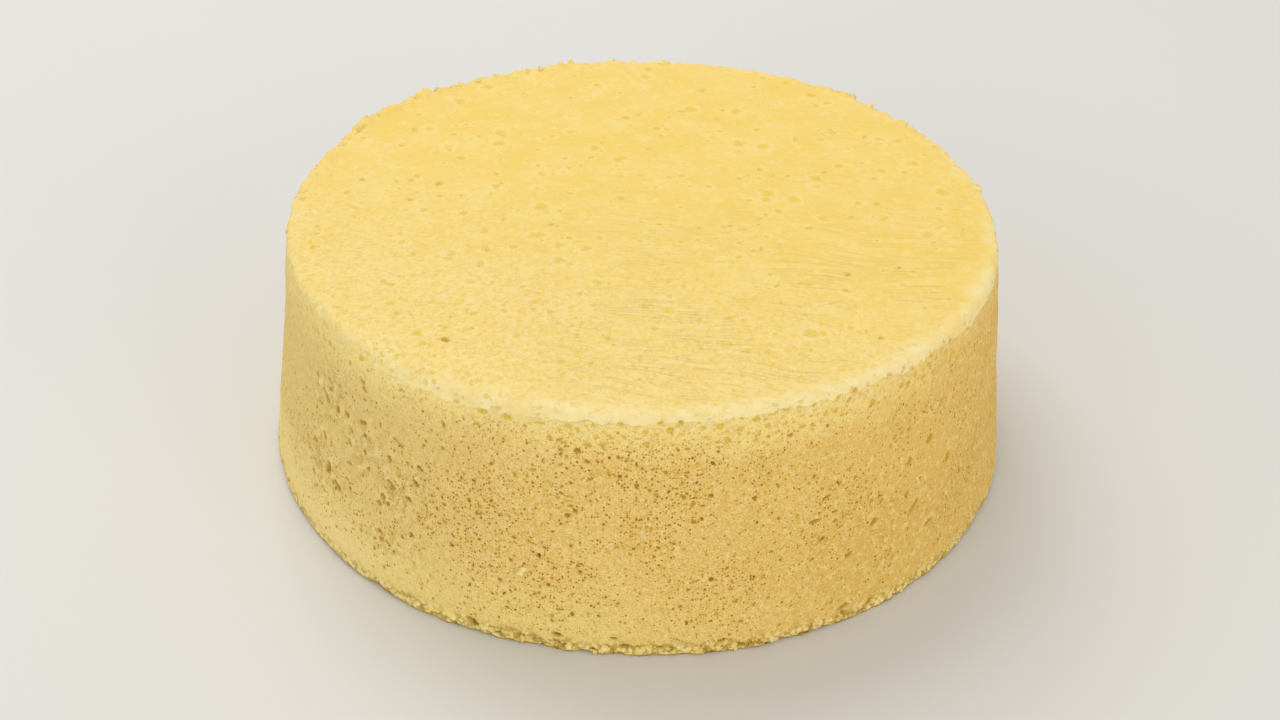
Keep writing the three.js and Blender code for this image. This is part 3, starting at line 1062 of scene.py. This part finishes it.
def hollow_shade_colour(g):
    """The mesh's own hollows, painted with shade over the crumb's browner colour: brown where dark,
    lemon under the rim, soft on top, olive at the foot.
    """
    dark = g.attribute("dark")
    lemon = g.times(g.step(g.z, 46, 54, 0, 0.9), g.step(dark, 0.7, 0.4))
    on_top = g.times(g.step(g.z, 56.6, 57.6), g.rest(dark))
    return g.coats(pit_colour(g), (dark, PORE_BROWN_AND_SHADE), (lemon, rim_pit_colour(g)),
                   (on_top, SKIN_PIT), (g.step(g.z, 3.5, 6, 0.9, 0), FOOT_CREASE_SHADE))


def pinpricks(g, shaken, size, share, reach, tones):
    """Pores too fine for the mesh, painted in with the shade inside them, more where it is porous:
    how deep in one a place lies, how far in the golden glow round it, and its colour."""
    inside, pick = g.spots(size, shaken, g.rest(g.times(g.attribute("porous"), share)), reach)
    colour = g.coats(pit_colour(g), (g.step(pick, *tones), PORE_BROWN_AND_SHADE),
                     (g.step(g.z, 48, 54, 0, 0.9), rim_pit_colour(g)))
    return g.step(inside, 0, 0.08), g.step(inside, -0.16, 0), colour


def body_material():
    g = Graph("sponge_crumb")
    mottle, blotch = g.noise(12, 3), g.noise(3.2, 3, 0.6)
    grain, granules = g.noise(0.6, 2, 0.65), g.noise(0.42, 2, 0.65)
    fray = g.add(g.times(grain, 0.5), g.times(blotch, 1.3))
    edge = [g.step(g.x, -60, -20, *ends) for ends in ((0.9, 1.2), (1.95, 1.55))]
    on_skin = g.step(g.add(g.attribute("skin"), fray), *edge)
    off_skin = g.rest(on_skin)

    shaken = g.warped(0.45, 0.4)
    pricks = [pinpricks(g, shaken, *kind) for kind in PINPRICKS]
    sandy = g.times(g.step(g.x, -65, -25, 0.65, 1), g.step(g.x, 60, 20, 0.5, 1))
    wall = wall_colour(g, mottle, blotch, granules, sandy, pricks)
    wall, ragged_height = ragged_colour(g, wall)
    wall, crease = foot_colour(g, wall, blotch, grain)
    skin, skin_height = skin_colour(g, mottle, grain)
    skin = rim_colour(g, skin, mottle, blotch)
    colour, rim_height = rim_tears(g, g.mix(on_skin, wall, skin), blotch, grain)
    # Painted shade: the mesh's pores, tears and foot crevices darken towards their bottoms, over the
    # crumb's browner colour
    bottom = g.step(on_skin, 0, 1, 0.75, 1.3)
    colour = g.coats(
        colour,
        (g.step(g.attribute("hollow"), 0.05, bottom, 0, 0.92), hollow_shade_colour(g)),
        (g.attribute("lip"), TORN),
        (g.step(g.z, 0.01, 0.06, 1, 0), crust_colour(g, mottle, blotch, grain)),
    )

    sand = g.times(g.add(granules, -0.5), sandy, 0.9)
    holes = [g.times(deep, -0.3) for deep, _, _ in pricks]
    wall_height = g.add(sand, g.times(crease, -1.5), ragged_height, *holes)
    height = g.add(g.times(wall_height, off_skin), g.times(skin_height, on_skin), rim_height)
    uneven = g.add(g.times(off_skin, g.step(g.x, -30, -60, 0.9, 2)), 0.4)
    height = g.add(height, g.add(g.times(grain, 0.3), g.times(blotch, uneven)))
    return g.finish(colour, height, BODY_BUMP)


def crumb_material():
    g = Graph("loose_crumb")
    grain = g.noise(0.5, 2, 0.6)
    colour = g.mix(g.step(g.attribute("tone"), 0, 2), FOOT, TORN)
    colour = g.shaded(colour, g.step(grain, 0.65, 0.3), GRAIN_SHADE)
    return g.finish(colour, grain, CRUMB_BUMP)


def floor_material():
    g = Graph("pale_floor")
    g.join(g.mix(g.noise(240), *FLOOR_TONES), g.shader.inputs["Base Color"])
    g.shader.inputs["Roughness"].default_value = 0.55
    return g.material


def dress_cake():
    body = make_body()
    body.data.materials.append(body_material())
    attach(body, "root")
    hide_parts("sponge_cake")
    crumbs = make_crumbs()
    crumbs.data.materials.append(crumb_material())
    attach(crumbs, "root")


def make_floor():
    bpy.ops.mesh.primitive_plane_add(size=6, location=(0, 0.8, 0))
    floor = bpy.context.object
    floor.name = "floor"
    floor.data.materials.append(floor_material())


def make_camera():
    """The photograph's camera, looking down with a slight roll."""
    rise, pitch = math.radians(CAMERA_ELEVATION), math.radians(CAMERA_PITCH)
    data = bpy.data.cameras.new("camera")
    data.sensor_fit = "HORIZONTAL"
    data.sensor_width = SENSOR_MM
    data.lens = SENSOR_MM * FOCAL_PIXELS / PHOTO_WIDTH
    camera = linked("camera", data)
    level = -CAMERA_RANGE * math.cos(rise)
    above = HEIGHT / 2 + CAMERA_RANGE * math.sin(rise)
    tilt = Euler((math.pi / 2 - pitch, 0, 0)).to_matrix()
    roll = Matrix.Rotation(math.radians(CAMERA_ROLL), 3, "Z")
    camera.matrix_world = Matrix.Translation((0, level * MM, above * MM)) @ (tilt @ roll).to_4x4()
    bpy.context.scene.camera = camera


def make_softbox(name, place, watts, colour):
    """An area light, one metre square, that faces the cake."""
    data = bpy.data.lights.new(name, "AREA")
    data.size = 1
    data.energy = watts
    data.color = colour
    light = linked(name, data)
    light.location = place
    towards = Vector((0, 0, HEIGHT / 2 * MM)) - Vector(place)
    light.rotation_euler = towards.to_track_quat("-Z", "Y").to_euler()


def make_light():
    """A window at the back left, a cool and a warm fill in front, and a pale room."""
    make_softbox("window", (-0.45, 0.85, 1.35), 10.9, (1, 0.985, 0.95))
    make_softbox("left fill", (-0.8, -1.25, 0.4), 4.7, (0.96, 1, 0.96))
    make_softbox("right fill", (1, -1.1, 0.4), 6.3, (1, 0.92, 0.74))
    world = bpy.data.worlds.new("room")
    world.use_nodes = True
    background = world.node_tree.nodes["Background"]
    background.inputs["Color"].default_value = (0.98, 0.985, 1, 1)
    background.inputs["Strength"].default_value = 0.69
    bpy.context.scene.world = world
    bpy.context.scene.view_settings.view_transform = "Standard"


make_camera()
dress_cake()
make_floor()
make_light()
